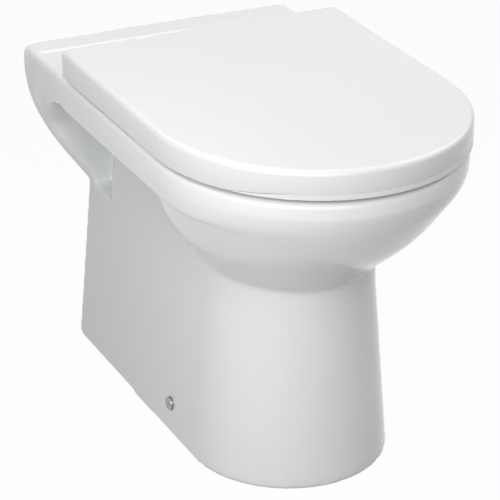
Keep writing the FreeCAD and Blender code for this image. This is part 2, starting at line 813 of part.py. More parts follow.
os.makedirs("parts", exist_ok=True)
for name, shape in parts.items():
    shape.exportStep(f"parts/{name}.step")
    print(name, "valid" if shape.isValid() else "NOT VALID", len(shape.Solids), "solids",
          round(shape.Volume), "mm3")
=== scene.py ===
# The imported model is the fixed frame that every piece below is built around.
import math

import bmesh
import bpy
from mathutils import Matrix, Vector


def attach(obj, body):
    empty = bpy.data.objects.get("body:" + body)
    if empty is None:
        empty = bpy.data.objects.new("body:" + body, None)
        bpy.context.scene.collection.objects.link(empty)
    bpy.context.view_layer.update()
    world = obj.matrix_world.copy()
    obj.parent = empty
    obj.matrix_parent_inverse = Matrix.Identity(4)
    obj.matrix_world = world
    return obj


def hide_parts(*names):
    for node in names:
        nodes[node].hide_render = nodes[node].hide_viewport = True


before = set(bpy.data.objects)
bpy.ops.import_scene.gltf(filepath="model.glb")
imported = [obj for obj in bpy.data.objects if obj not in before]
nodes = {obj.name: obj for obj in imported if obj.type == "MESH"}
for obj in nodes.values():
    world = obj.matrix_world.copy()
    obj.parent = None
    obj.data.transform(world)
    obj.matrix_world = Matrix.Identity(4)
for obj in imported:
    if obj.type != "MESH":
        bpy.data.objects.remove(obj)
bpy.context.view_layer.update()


# The pan: one vitreous china casting with rim, bowl, foot column, side pockets and wall flange.
# It is slip-cast, so every corner the mould leaves is softened by the clay and by the glaze over it.
# The glaze is left off where the pan stands on the floor and where it meets the wall.
MM = 0.001


def ramp(value, low, high):
    """0 below low, 1 above high and a straight rise between them."""
    return min(1.0, max(0.0, (value - low) / (high - low)))


def band(value, rise_from, rise_to, fall_from, fall_to):
    """1 in the middle of a range, with a straight rise before it and a straight fall after it."""
    return ramp(value, rise_from, rise_to) * (1 - ramp(value, fall_from, fall_to))


def new_piece(name, data):
    """Puts a mesh, a lamp or the camera into the scene under this name."""
    piece = bpy.data.objects.new(name, data)
    bpy.context.scene.collection.objects.link(piece)
    return piece


def applied(piece):
    """Replaces the piece's mesh by what its modifiers make of it."""
    bpy.context.view_layer.update()
    changed = piece.evaluated_get(bpy.context.evaluated_depsgraph_get())
    shaped = bpy.data.meshes.new_from_object(changed)
    piece.modifiers.clear()
    piece.data = shaped


def new_finish(name):
    """A new material, its node tree and its shader."""
    material = bpy.data.materials.new(name)
    material.use_nodes = True
    tree = material.node_tree
    return material, tree, tree.nodes["Principled BSDF"]


def add_noise(tree, scale, detail=2.0):
    """A noise that is fixed to the piece."""
    noise = tree.nodes.new("ShaderNodeTexNoise")
    noise.inputs["Scale"].default_value = scale
    noise.inputs["Detail"].default_value = detail
    coordinates = tree.nodes.new("ShaderNodeTexCoord")
    tree.links.new(coordinates.outputs["Object"], noise.inputs["Vector"])
    return noise


def place_of(noise):
    """The socket that gives a noise its place on the piece."""
    return noise.inputs["Vector"].links[0].from_socket


def add_tint(tree, noise, first, second, stops=(0.3, 0.7)):
    """Two colours that run into each other with the noise."""
    tint = tree.nodes.new("ShaderNodeValToRGB")
    for element, stop, colour in zip(tint.color_ramp.elements, stops, (first, second)):
        element.position = stop
        element.color = (*colour, 1.0)
    tree.links.new(noise.outputs["Fac"], tint.inputs["Fac"])
    return tint.outputs["Color"]


def add_range(tree, value, to_range, from_range=(0.0, 1.0)):
    """Carries a value from one range over to another."""
    spread = tree.nodes.new("ShaderNodeMapRange")
    ends = ("From Min", "From Max", "To Min", "To Max")
    for end, number in zip(ends, (*from_range, *to_range)):
        spread.inputs[end].default_value = number
    tree.links.new(value, spread.inputs["Value"])
    return spread.outputs["Result"]


def add_bump(tree, shader, noise, strength, distance):
    """Lets the noise raise the surface a little."""
    bump = tree.nodes.new("ShaderNodeBump")
    bump.inputs["Strength"].default_value = strength
    bump.inputs["Distance"].default_value = distance
    tree.links.new(noise.outputs["Fac"], bump.inputs["Height"])
    tree.links.new(bump.outputs["Normal"], shader.inputs["Normal"])


def either(tree, first, second):
    """The greater of two values: 1 where the one or the other is."""
    most = tree.nodes.new("ShaderNodeMath")
    most.operation = "MAXIMUM"
    tree.links.new(first, most.inputs[0])
    tree.links.new(second, most.inputs[1])
    return most.outputs["Value"]


pan_voxel = 2.0 * MM
pan_triangles = 190000
smooth_strength = 0.5
mould_passes = 6
slip_passes = 80
front_passes = 260
edge_passes = 40
weight_steps = 16
wall_softness = 0.35
crease_softness = 0.35
# Where each softening begins and is full, in metres.
floor_line = (0.002, 0.014)
wall_line = (0.270, 0.2985)
wall_stop = (wall_line[1] - 2 * MM, wall_line[1])
rim_top = (0.372, 0.392)
screw_place = Vector((0.1065, 0.014, 0.036))
screw_room = (0.011, 0.024)
front_blend_y = (0.17, 0.25)
front_blend_z = (0.262, 0.290, 0.372, 0.384)
wing_blend_x = (0.098, 0.112)
wing_blend_y = (0.175, 0.225, 0.284, 0.294)
wing_blend_z = (0.280, 0.305, 0.378, 0.392)
wall_edge_x = (0.070, 0.085)
wall_edge_y = (0.2945, 0.2975)
floor_edge_z = (0.0015, 0.0045)

pan = new_piece("glazed_pan", nodes["pan"].data.copy())
remesh = pan.modifiers.new("clay", "REMESH")
remesh.mode = "VOXEL"
remesh.voxel_size = pan_voxel
applied(pan)

# Each softening by name, with its passes and the axis along which nothing may move.
smoothings = (
    ("mould", mould_passes, ""),
    ("slip", slip_passes, ""),
    ("front", front_passes, ""),
    ("wall_edge", edge_passes, "use_y"),
    ("floor_edge", edge_passes, "use_z"),
)
members = {name: [[] for _ in range(weight_steps + 1)] for name, _, _ in smoothings}
for vertex in pan.data.vertices:
    x, y, z = vertex.co
    from_screw = (Vector((abs(x), y, z)) - screw_place).length
    mould = min(ramp(z, *floor_line), 1 - ramp(y, *wall_stop), ramp(from_screw, *screw_room))
    below_rim = 1 - ramp(z, *rim_top)
    by_wall = 1 - (1 - wall_softness) * ramp(y, *wall_line)
    front = ramp(-y, *front_blend_y) * band(z, *front_blend_z)
    wing = band(y, *wing_blend_y) * (band(z, *wing_blend_z) * ramp(abs(x), *wing_blend_x))
    weights = {
        "mould": mould,
        "slip": mould * below_rim * by_wall * crease_softness,
        "front": max(front, wing),
        "wall_edge": ramp(y, *wall_edge_y) * ramp(abs(x), *wall_edge_x),
        "floor_edge": 1 - ramp(z, *floor_edge_z),
    }
    for name, weight in weights.items():
        members[name][round(weight * weight_steps)].append(vertex.index)
for name, passes, kept_axis in smoothings:
    group = pan.vertex_groups.new(name=name)
    for step, indices in enumerate(members[name]):
        if step and indices:
            group.add(indices, step / weight_steps, "REPLACE")
    smooth = pan.modifiers.new(name, "SMOOTH")
    smooth.factor = smooth_strength
    smooth.iterations = passes
    smooth.vertex_group = name
    if kept_axis:
        setattr(smooth, kept_axis, False)
applied(pan)
pan.vertex_groups.clear()
pan.data.calc_loop_triangles()
if len(pan.data.loop_triangles) > pan_triangles:
    thin = pan.modifiers.new("thin", "DECIMATE")
    thin.ratio = pan_triangles / len(pan.data.loop_triangles)
    applied(pan)
pan.data.shade_smooth()

china_white = (0.806, 0.823, 0.819)
china_shade = (0.795, 0.813, 0.809)
china_cloud = 9.0
glaze_rough = (0.08, 0.15)
glaze_ripple = 40.0
bisque = (0.700, 0.680, 0.640)
bisque_rough = 0.75
bare_floor = (0.0006, 0.0016)
bare_wall = (0.2984, 0.2994)
glaze, glaze_tree, glaze_shader = new_finish("glazed_china")
cloud = add_noise(glaze_tree, china_cloud)
china_tint = add_tint(glaze_tree, cloud, china_shade, china_white)
ripple = add_noise(glaze_tree, glaze_ripple)
china_gloss = add_range(glaze_tree, ripple.outputs["Fac"], glaze_rough)
place = glaze_tree.nodes.new("ShaderNodeSeparateXYZ")
glaze_tree.links.new(place_of(cloud), place.inputs["Vector"])
standing_face = add_range(glaze_tree, place.outputs["Z"], (1.0, 0.0), bare_floor)
wall_face = add_range(glaze_tree, place.outputs["Y"], (0.0, 1.0), bare_wall)
bare = either(glaze_tree, standing_face, wall_face)
skin = glaze_tree.nodes.new("ShaderNodeMix")
skin.data_type = "RGBA"
glaze_tree.links.new(bare, skin.inputs["Factor"])
glaze_tree.links.new(china_tint, skin.inputs["A"])
skin.inputs["B"].default_value = (*bisque, 1.0)
glaze_tree.links.new(skin.outputs["Result"], glaze_shader.inputs["Base Color"])
rough = glaze_tree.nodes.new("ShaderNodeMix")
glaze_tree.links.new(bare, rough.inputs["Factor"])
glaze_tree.links.new(china_gloss, rough.inputs["A"])
rough.inputs["B"].default_value = bisque_rough
glaze_tree.links.new(rough.outputs["Result"], glaze_shader.inputs["Roughness"])
pan.data.materials.clear()
pan.data.materials.append(glaze)
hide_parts("pan")
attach(pan, "pan_body")


# The flush pipe's seal: a black rubber cone pressed into the inlet at the back of the pan.
# Its flange lies against the china, and three lips inside it grip the pipe.
def piece_from(name, build):
    """Makes a piece of a built mesh, with its faces turned outwards."""
    bmesh.ops.recalc_face_normals(build, faces=build.faces)
    mesh = bpy.data.meshes.new(name)
    build.to_mesh(mesh)
    build.free()
    return new_piece(name, mesh)


def soften(piece, angle=35.0):
    """Smooth shading with the real corners kept."""
    piece.data.shade_smooth()
    piece.data.set_sharp_from_angle(angle=math.radians(angle))


def skin_rings(build, rings):
    """Faces between each ring of points and the next, all the way round."""
    for ring, following in zip(rings, rings[1:]):
        for step in range(len(ring)):
            after = (step + 1) % len(ring)
            build.faces.new((ring[step], ring[after], following[after], following[step]))


turned_weld = 0.002 * MM


def turned(build, profile, place, axis, steps):
    """Adds a lathe-turned form: (radius, along) points turned about the axis through place, in mm.

    A profile that comes back to its start makes a ring; flat faces close the ends of any other.
    """
    spin = Vector(axis).to_track_quat("Z", "Y")
    rings = []
    for radius, along in profile:
        ring = []
        for step in range(steps):
            turn = 2 * math.pi * step / steps
            point = spin @ Vector((radius * math.cos(turn), radius * math.sin(turn), along))
            ring.append(build.verts.new((Vector(place) + point) * MM))
        rings.append(ring)
    skin_rings(build, rings)
    if profile[0] != profile[-1]:
        build.faces.new(rings[0])
        build.faces.new(list(reversed(rings[-1])))
    bmesh.ops.remove_doubles(build, verts=build.verts, dist=turned_weld)


def rubber(name, colour, rough, grain):
    """A matt rubber with a fine moulded grain and a little dust in it."""
    dust_gain = 1.25
    dust_lift = 0.006
    dust_scale = 60.0
    dust_detail = 4.0
    dust_stops = (0.35, 0.75)
    grain_scale = 900.0
    grain_strength = 0.25
    material, tree, shader = new_finish(name)
    dusty = tuple(min(1.0, part * dust_gain + dust_lift) for part in colour)
    tint = add_tint(tree, add_noise(tree, dust_scale, dust_detail), colour, dusty, dust_stops)
    tree.links.new(tint, shader.inputs["Base Color"])
    shader.inputs["Roughness"].default_value = rough
    add_bump(tree, shader, add_noise(tree, grain_scale), grain_strength, grain)
    return material


black_rubber = rubber("black_rubber", colour=(0.030, 0.030, 0.031), rough=0.62, grain=0.00015)
seal_place = (0, 292.0, 352.0)
seal_steps = 64
seal_profile = [(27.5, -34.0), (26.9, -34.0), (23.4, -33.4), (22.5, -32.0)]
for lip in (-26.0, -18.0, -10.0):
    seal_profile += [(22.5, lip - 2.0), (22.6, lip - 1.0), (22.5, lip + 1.0)]
seal_profile += [(22.5, 4.2), (23.3, 5.0), (31.6, 5.0), (32.6, 4.6), (33.0, 3.6), (33.0, 0.6),
                 (32.6, 0.0), (27.5, 0.0), (27.5, -34.0)]
seal_build = bmesh.new()
turned(seal_build, seal_profile, seal_place, (0, 1, 0), seal_steps)
inlet_seal = piece_from("flush_inlet_seal", seal_build)
soften(inlet_seal)
inlet_seal.data.materials.append(black_rubber)
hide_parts("inlet_seal")
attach(inlet_seal, "pan_body")


# The floor brackets: zinc-plated steel angles inside the foot, screwed to the floor.
# They are folded from plate, so their edges are only eased, and the plating is cloudy.
def metal(name, colour, rough, scale, stretch=(1, 1, 1)):
    """A bare or plated metal whose gloss and tone change with its grain; stretch draws the grain out."""
    grain_detail = 5.0
    grain_shade = 0.86
    material, tree, shader = new_finish(name)
    grain = add_noise(tree, scale, grain_detail)
    mapping = tree.nodes.new("ShaderNodeMapping")
    mapping.inputs["Scale"].default_value = stretch
    tree.links.new(place_of(grain), mapping.inputs["Vector"])
    tree.links.new(mapping.outputs["Vector"], grain.inputs["Vector"])
    darker = tuple(part * grain_shade for part in colour)
    tree.links.new(add_tint(tree, grain, darker, colour), shader.inputs["Base Color"])
    tree.links.new(add_range(tree, grain.outputs["Fac"], rough), shader.inputs["Roughness"])
    shader.inputs["Metallic"].default_value = 1.0
    return material


node_weld = 0.005 * MM
ease_segments = 2
ease_angle = 40.0


def dressed(name, material, width):
    """Keeps a CAD node's shape, eases its edges by width in mm and gives it its finish."""
    node = nodes[name]
    weld = node.modifiers.new("weld", "WELD")
    weld.merge_threshold = node_weld
    ease = node.modifiers.new("eased", "BEVEL")
    ease.width = width * MM
    ease.segments = ease_segments
    ease.limit_method = "ANGLE"
    ease.angle_limit = math.radians(ease_angle)
    node.data.materials.clear()
    node.data.materials.append(material)


zinc = metal("zinc_plate", colour=(0.66, 0.67, 0.68), rough=(0.28, 0.46), scale=70.0)
for side in ("left", "right"):
    dressed(side + "_floor_bracket", zinc, 0.6)


# The side screws go through the foot into the brackets, each in a plain nylon sleeve.
# Steel is turned bright and keeps fine rings; nylon is moulded, off-white and waxy.
steel = metal("turned_steel", colour=(0.62, 0.63, 0.64), rough=(0.20, 0.34), scale=30.0, stretch=(8, 1, 1))
dressed("side_screws", steel, 0.4)


def nylon(name, colour):
    """A waxy moulded nylon that lets a little light in."""
    cloud_shade = 0.96
    cloud_scale = 25.0
    wax_scale = 120.0
    wax_rough = (0.34, 0.46)
    light_share = 0.05
    light_depth = 0.002
    material, tree, shader = new_finish(name)
    deeper = tuple(part * cloud_shade for part in colour)
    tree.links.new(add_tint(tree, add_noise(tree, cloud_scale), deeper, colour), shader.inputs["Base Color"])
    gloss = add_range(tree, add_noise(tree, wax_scale).outputs["Fac"], wax_rough)
    tree.links.new(gloss, shader.inputs["Roughness"])
    shader.inputs["Subsurface Weight"].default_value = light_share
    shader.inputs["Subsurface Radius"].default_value = (light_depth, light_depth, light_depth)
    return material


white_nylon = nylon("white_nylon", colour=(0.80, 0.80, 0.785))
dressed("screw_sleeves", white_nylon, 0.2)


# The screw caps: pressed chrome discs that snap over the screw heads on both sides of the foot.
# Each has a rolled rim, a shallow dish and a small bright button in the middle.
cap_x = 113.86
cap_y = 14.0
cap_z = 36.0
cap_steps = 64
cap_face = [(7.3, 0.0), (8.1, 0.0), (8.5, 0.5), (8.5, 3.2), (8.35, 3.9), (7.95, 4.35), (7.4, 4.5),
            (6.8, 4.35), (6.3, 3.95), (5.6, 3.70), (4.6, 3.60), (3.6, 3.62), (2.9, 3.80), (2.45, 4.25),
            (2.0, 4.75), (1.4, 5.10), (0.7, 5.27), (0.02, 5.30)]
cap_inside = [(0.02, 2.4), (6.0, 2.4), (7.0, 2.9), (7.3, 2.4), (7.3, 0.0)]
# The chrome's colour is set dark so that the caps show dark reflections under the white room: a painted dark
# reflection.
cap_chrome = metal("cap_chrome", colour=(0.32, 0.33, 0.34), rough=(0.10, 0.20), scale=45.0)
for side, name in ((-1, "left"), (1, "right")):
    cap_build = bmesh.new()
    turned(cap_build, cap_face + cap_inside, (side * cap_x, cap_y, cap_z), (side, 0, 0), cap_steps)
    cap = piece_from(name + "_chrome_cap", cap_build)
    soften(cap)
    cap.data.materials.append(cap_chrome)
    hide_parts(name + "_screw_cap")
    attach(cap, "pan_body")


# Rubber in the deck: a flanged bush in each hole and a thin gasket under each hinge post.
# Both keep the hard fixings off the glaze.
for side in ("left", "right"):
    dressed(side + "_deck_bush", black_rubber, 0.5)
    dressed(side + "_hinge_gasket", black_rubber, 0.3)


# The hinge posts: moulded white nylon, with a round base, a neck and a barrel for the steel pin.
# The barrels fill the lid's notches, so the closed lid shows no hardware.
for side in ("left", "right"):
    dressed(side + "_hinge_post", white_nylon, 0.4)
    dressed(side + "_hinge_pin", steel, 0.3)


# The studs hold the posts down through the deck: rolled steel thread with chamfered ends.
# Each takes a washer and a moulded wing nut under the deck, tightened by hand.
stud_x = 77.5
stud_y = 160.5
stud_low = 358.5
stud_high = 416.5
stud_radius = 3.0
stud_tip = 0.7
stud_taper = 1.5
stud_crease = 60.0
thread_pitch = 1.0
thread_depth = 0.55
thread_rows = 6
stud_steps = 24
stud_rows = int((stud_high - stud_low) / thread_pitch * thread_rows)
stud_build = bmesh.new()
for side in (-1, 1):
    rings = []
    for row in range(stud_rows + 1):
        z = stud_low + (stud_high - stud_low) * row / stud_rows
        chamfer = min(1.0, (z - stud_low) / stud_taper + stud_tip, (stud_high - z) / stud_taper + stud_tip)
        ring = []
        for step in range(stud_steps):
            turn = 2 * math.pi * step / stud_steps
            phase = (z / thread_pitch - step / stud_steps) % 1.0
            radius = chamfer * (stud_radius - thread_depth * abs(2 * phase - 1))
            x = side * stud_x + radius * math.cos(turn)
            y = stud_y + radius * math.sin(turn)
            ring.append(stud_build.verts.new((x * MM, y * MM, z * MM)))
        rings.append(ring)
    skin_rings(stud_build, rings)
    stud_build.faces.new(list(reversed(rings[0])))
    stud_build.faces.new(rings[-1])
studs = piece_from("threaded_studs", stud_build)
soften(studs, stud_crease)
studs.data.materials.append(steel)
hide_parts("hinge_studs")
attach(studs, "pan_body")
dressed("stud_washers", steel, 0.3)
dressed("wing_nuts", white_nylon, 0.6)


# The seat: a ring of the same white thermoset as the lid, with an oval hole and a crowned top.
# A lip along its front fills the lid's lower edge, and two lugs at the back turn on the hinge pins.
# It is compression-moulded, so its edges are round and its surface is polished.
def polished_plastic(name, colour):
    """White thermoset: an even colour, a polished skin and the faintest long waviness of the mould."""
    cloud_shade = 0.988
    cloud_scale = 6.0
    polish_scale = 55.0
    polish_detail = 3.0
    polish_rough = (0.16, 0.24)
    wave_scale = 30.0
    wave_strength = 0.03
    wave_height = 0.0004
    material, tree, shader = new_finish(name)
    deeper = tuple(part * cloud_shade for part in colour)
    tree.links.new(add_tint(tree, add_noise(tree, cloud_scale), deeper, colour), shader.inputs["Base Color"])
    gloss = add_range(tree, add_noise(tree, polish_scale, polish_detail).outputs["Fac"], polish_rough)
    tree.links.new(gloss, shader.inputs["Roughness"])
    add_bump(tree, shader, add_noise(tree, wave_scale), wave_strength, wave_height)
    return material


seat_plastic = polished_plastic("white_thermoset", colour=(0.77, 0.77, 0.77))
seat_half = 173.3
seat_reach = 188.1
seat_rear = 148.0
seat_straight = -105.2
seat_low = 408.6
seat_high = 424.0
seat_round = 4.0
seat_corner = 14.0
seat_crown = 0.7
hole_half = 113.0
hole_reach = 132.0
hole_round = 6.0
lip_out = 6.7
lip_start = 212.0
lip_length = 50.0
lip_high = 6.0
lip_full = 5.9
lip_round = 0.2
lip_fillet = 0.4
edge_steps = 6
top_shares = (0.2, 0.4, 0.6, 0.8)
under_shares = (0.33, 0.67)
ring_half_steps = 240


def skirt_rise(y):
    """How far the lid's lower edge stands up at y to make room for the seat's lip."""
    return lip_high * ramp(-y - lip_start, 0.0, lip_length)


def even_steps(points, count):
    """count + 1 points at equal distances along a line of points."""
    lengths = [0.0]
    for point, following in zip(points, points[1:]):
        lengths.append(lengths[-1] + math.dist(point, following))
    spaced = []
    index = 0
    for step in range(count + 1):
        want = lengths[-1] * step / count
        while index < len(points) - 2 and lengths[index + 1] < want:
            index += 1
        share = (want - lengths[index]) / (lengths[index + 1] - lengths[index])
        spaced.append(tuple(Vector(points[index]).lerp(Vector(points[index + 1]), min(1.0, share))))
    return spaced


def half_normals(points):
    """Outward normals of the right half of an outline that starts at the front."""
    normals = []
    for index in range(len(points)):
        before = Vector(points[max(0, index - 1)])
        after = Vector(points[min(len(points) - 1, index + 1)])
        if index == 0:
            before = Vector((-after.x, after.y))
        if index == len(points) - 1:
            after = Vector((-before.x, before.y))
        along = (after - before).normalized()
        normals.append((along.y, -along.x))
    return normals


outer_line = []
for angle in range(0, 91):
    turn = math.radians(angle)
    outer_line.append((seat_half * math.sin(turn), seat_straight - seat_reach * math.cos(turn)))
outer_line.append((seat_half, seat_rear - seat_corner))
for angle in range(10, 91, 10):
    turn = math.radians(angle)
    outer_line.append((seat_half - seat_corner + seat_corner * math.cos(turn),
                       seat_rear - seat_corner + seat_corner * math.sin(turn)))
outer_line.append((0.0, seat_rear))
hole_line = []
for angle in range(0, 181):
    turn = math.radians(angle)
    hole_line.append((hole_half * math.sin(turn), seat_straight - hole_reach * math.cos(turn)))
outer_points = even_steps(outer_line, ring_half_steps)
hole_points = even_steps(hole_line, ring_half_steps)
outer_normals = half_normals(outer_points)
hole_normals = half_normals(hole_points)


def seat_section(index):
    """One section of the ring as (x, y, z): round the outside from below, over the top and down the hole."""
    (outer_x, outer_y), (outer_nx, outer_ny) = outer_points[index], outer_normals[index]
    (hole_x, hole_y), (hole_nx, hole_ny) = hole_points[index], hole_normals[index]
    lip = skirt_rise(outer_y) - (lip_high - lip_full)
    if lip > 0:
        ease = min(lip_round, lip / 2)
        lip_top = seat_low + lip
        outer = [(-lip_out + ease, seat_low), (-lip_out, seat_low + ease), (-lip_out, lip_top - ease),
                 (-lip_out + ease, lip_top), (-lip_fillet, lip_top), (0.0, lip_top + lip_fillet)]
    else:
        outer = [(1.2, seat_low), (0.35, seat_low + 0.35), (0.0, seat_low + 1.2), (0.0, seat_low + 2.0),
                 (0.0, seat_low + 3.0), (0.0, seat_low + 4.0)]
    inner = []
    for step in range(edge_steps + 1):
        turn = math.radians(180 - 90 / edge_steps * step)
        outer.append((seat_round + seat_round * math.cos(turn),
                      seat_high - seat_round + seat_round * math.sin(turn)))
        turn = math.radians(90 - 90 / edge_steps * step)
        inner.append((hole_round - hole_round * math.cos(turn),
                      seat_high - hole_round + hole_round * math.sin(turn)))
    inner += [(0.0, seat_low + 2.0), (0.6, seat_low + 0.6), (2.0, seat_low)]
    section = [(outer_x - outer_nx * inset, outer_y - outer_ny * inset, z) for inset, z in outer]
    top_start = len(section) - 1
    top_end = top_start + len(top_shares) + 1
    start = Vector(section[-1])
    end = Vector((hole_x + hole_nx * hole_round, hole_y + hole_ny * hole_round, seat_high))
    section += [tuple(start.lerp(end, share)) for share in top_shares]
    section += [(hole_x + hole_nx * inset, hole_y + hole_ny * inset, z) for inset, z in inner]
    last, first = Vector(section[-1]), Vector(section[0])
    section += [tuple(last.lerp(first, share)) for share in under_shares]
    crowned_section = []
    for number, (x, y, z) in enumerate(section):
        drop = 0.0
        if top_start - edge_steps <= number <= top_end + edge_steps:
            drop = seat_crown * (2 * ramp(number, top_start, top_end) - 1) ** 2
        crowned_section.append((x, y, z - drop * ramp(z, seat_low, seat_high)))
    return crowned_section


sections = [seat_section(index) for index in range(ring_half_steps + 1)]
sections += [[(-x, y, z) for x, y, z in section] for section in reversed(sections[1:-1])]
seat_build = bmesh.new()
seat_rings = [[seat_build.verts.new(Vector(point) * MM) for point in section] for section in sections]
skin_rings(seat_build, seat_rings + seat_rings[:1])
seat = piece_from("seat_ring_moulding", seat_build)

hinge_y = 164.0
hinge_z = 433.0
bush_bore = 5.0
bore_steps = 40
bore_spare = 1.0
lug_radius = 8.0
lug_x = (55.0, 69.0)
lug_angles = (200.0, -75.0)
lug_steps = 28
lug_root_y = 142.0
lug_root_z = seat_high - 1.5
lug_foot_z = seat_low + 0.3
lug_heel_y = seat_rear - 0.4


def merged(piece, tool, operation):
    """Joins the tool to the piece or cuts it away, and drops the tool."""
    change = piece.modifiers.new("change", "BOOLEAN")
    change.operation = operation
    change.solver = "EXACT"
    change.object = tool
    applied(piece)
    bpy.data.objects.remove(tool)


def cut_bore(piece, x, length):
    """Bores the piece for its bushes, along the hinge axis."""
    bore_build = bmesh.new()
    rod = [(bush_bore, -length / 2), (bush_bore, length / 2)]
    turned(bore_build, rod, (x, hinge_y, hinge_z), (1, 0, 0), bore_steps)
    merged(piece, piece_from("bore", bore_build), "DIFFERENCE")


def hinge_arc(radius, start, end, steps):
    """Points (y, z) about the hinge axis from one angle to another, in degrees."""
    points = []
    for step in range(steps + 1):
        turn = math.radians(start + (end - start) * step / steps)
        points.append((hinge_y + radius * math.cos(turn), hinge_z + radius * math.sin(turn)))
    return points


lug_line = [(lug_root_y, lug_foot_z), (lug_root_y, lug_root_z)]
lug_line += hinge_arc(lug_radius, *lug_angles, lug_steps) + [(lug_heel_y, lug_foot_z)]
for side in (-1, 1):
    lug_build = bmesh.new()
    cheeks = [[lug_build.verts.new((side * x * MM, y * MM, z * MM)) for y, z in lug_line] for x in lug_x]
    skin_rings(lug_build, cheeks)
    for cheek in cheeks:
        lug_build.faces.new(cheek)
    merged(seat, piece_from("lug", lug_build), "UNION")
    cut_bore(seat, side * sum(lug_x) / 2, lug_x[1] - lug_x[0] + bore_spare)
soften(seat)
seat.data.materials.append(seat_plastic)
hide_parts("seat_ring")
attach(seat, "seat_body")


# Plain nylon bushes pressed into the seat's lugs and the lid's roll let both turn on the steel pins.
# Soft pale rubber pads under the seat and under the lid stand in sockets and take the landing.
dressed("seat_hinge_bushes", white_nylon, 0.2)
dressed("lid_hinge_bushes", white_nylon, 0.2)
pale_rubber = rubber("pale_rubber", colour=(0.62, 0.62, 0.60), rough=0.5, grain=0.0001)
pad_steps = 40
rim_face = 403.0


def pad_places(node):
    """The middle of each separate pad of a CAD node, as (x, y) in mm."""
    build = bmesh.new()
    build.from_mesh(nodes[node].data)
    bmesh.ops.remove_doubles(build, verts=build.verts, dist=node_weld)
    left = set(build.verts)
    places = []
    while left:
        reached = [left.pop()]
        group = list(reached)
        while reached:
            vertex = reached.pop()
            for edge in vertex.link_edges:
                other = edge.other_vert(vertex)
                if other in left:
                    left.remove(other)
                    reached.append(other)
                    group.append(other)
        xs = [vertex.co.x for vertex in group]
        ys = [vertex.co.y for vertex in group]
        places.append(((min(xs) + max(xs)) / 2 / MM, (min(ys) + max(ys)) / 2 / MM))
    build.free()
    return sorted(places)


def pads(name, node, body, profile, base):
    """Turned rubber pads in the place of a CAD node's pads, standing on the height base."""
    build = bmesh.new()
    for x, y in pad_places(node):
        turned(build, profile, (x, y, base), (0, 0, 1), pad_steps)
    piece = piece_from(name, build)
    soften(piece)
    piece.data.materials.append(pale_rubber)
    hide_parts(node)
    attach(piece, body)


seat_pad = [(6.6, 0.0), (7.5, 0.5), (8.0, 1.6), (8.0, 4.6), (7.6, 5.4), (6.8, 5.6), (3.5, 5.6),
            (3.5, 10.2), (3.0, 10.6)]
lid_pad = [(4.2, 0.0), (5.2, 0.4), (5.8, 1.5), (6.0, 9.8), (5.6, 10.7), (4.8, 11.0), (3.0, 11.0),
           (3.0, 13.6), (2.6, 14.0)]
pads("seat_rubber_pads", "seat_buffers", "seat_body", seat_pad, rim_face)
pads("lid_rubber_pads", "lid_buffers", "lid_body", lid_pad, seat_high)


# The lid: a moulded cover of white thermoset whose skirt hangs over the seat and closes on its front lip.
# Its plate is slightly crowned, its upper edge is rounded, and its rear edge rolls round the hinge axis.
# Two notches in the roll leave room for the seat's lugs and the hinge posts.
lid_half = 180.0
lid_reach = 194.8
lid_straight = -105.2
lid_low = 408.6
lid_under = 435.0
lid_top = 441.0
lid_round = 6.0
lid_round_steps = 10
lid_border = 9.0
lid_skirt = 5.0
lid_crown = 0.8
crown_from_rear = (15.0, 110.0)
lid_front_steps = 180
lid_weld = 0.02 * MM
plate_rear = 149.0
roll_radius = 8.0
roll_half = 171.0
roll_steps = 24
notch_radius = 8.5
notch_inner = 54.5
notch_outer = 86.0
notch_steps = 8
bush_reach = 12.0
plate_meets_roll = hinge_y - math.sqrt(roll_radius ** 2 - (lid_under - hinge_z) ** 2)
notch_low_y = hinge_y - math.sqrt(notch_radius ** 2 - (lid_under - hinge_z) ** 2)
notch_top_y = hinge_y - math.sqrt(notch_radius ** 2 - (lid_top - hinge_z) ** 2)
lid_build = bmesh.new()


def lid_point(x, y, z):
    """A point of the lid, in mm; the sides hang a little lower than the middle, except by the hinge."""
    share = (x / lid_half) ** 2 * ramp(hinge_y - y, *crown_from_rear)
    crowned = z - lid_crown * share * ramp(z, lid_low, lid_top)
    return lid_build.verts.new((x * MM, y * MM, crowned * MM))


def lid_sheet(rows):
    """Faces between each row of the lid's points and the next."""
    for row, following in zip(rows, rows[1:]):
        for corners in zip(row, row[1:], following[1:], following):
            lid_build.faces.new(corners)


def lid_outline(side_rows):
    """The open outline, left rear to front to right rear, as (place, outward normal) in mm."""
    left = [((-lid_half, y), (-1.0, 0.0)) for y in side_rows]
    front = []
    for step in range(lid_front_steps + 1):
        turn = math.pi + math.pi * step / lid_front_steps
        normal = Vector((math.cos(turn) / lid_half, math.sin(turn) / lid_reach)).normalized()
        place = (lid_half * math.cos(turn), lid_straight + lid_reach * math.sin(turn))
        front.append((place, tuple(normal)))
    right = [((lid_half, y), (1.0, 0.0)) for y in reversed(side_rows)]
    return left + front + right


def skirt_profile(low):
    """The skirt from under the plate, down inside, round its lower edge and up outside, as (inset, z)."""
    points = [(lid_border, lid_under), (7.2, lid_under), (6.0, 434.7), (5.3, 434.0), (lid_skirt, 432.8),
              (lid_skirt, low + 0.9), (4.75, low + 0.25), (4.1, low), (0.3, low), (0.1, low + 0.1),
              (0.0, low + 0.3), (0.0, lid_top - lid_round)]
    for step in range(1, lid_round_steps + 1):
        turn = math.radians(180 - 90 / lid_round_steps * step)
        points.append((lid_round + lid_round * math.cos(turn),
                       lid_top - lid_round + lid_round * math.sin(turn)))
    return points + [(lid_border, lid_top)]


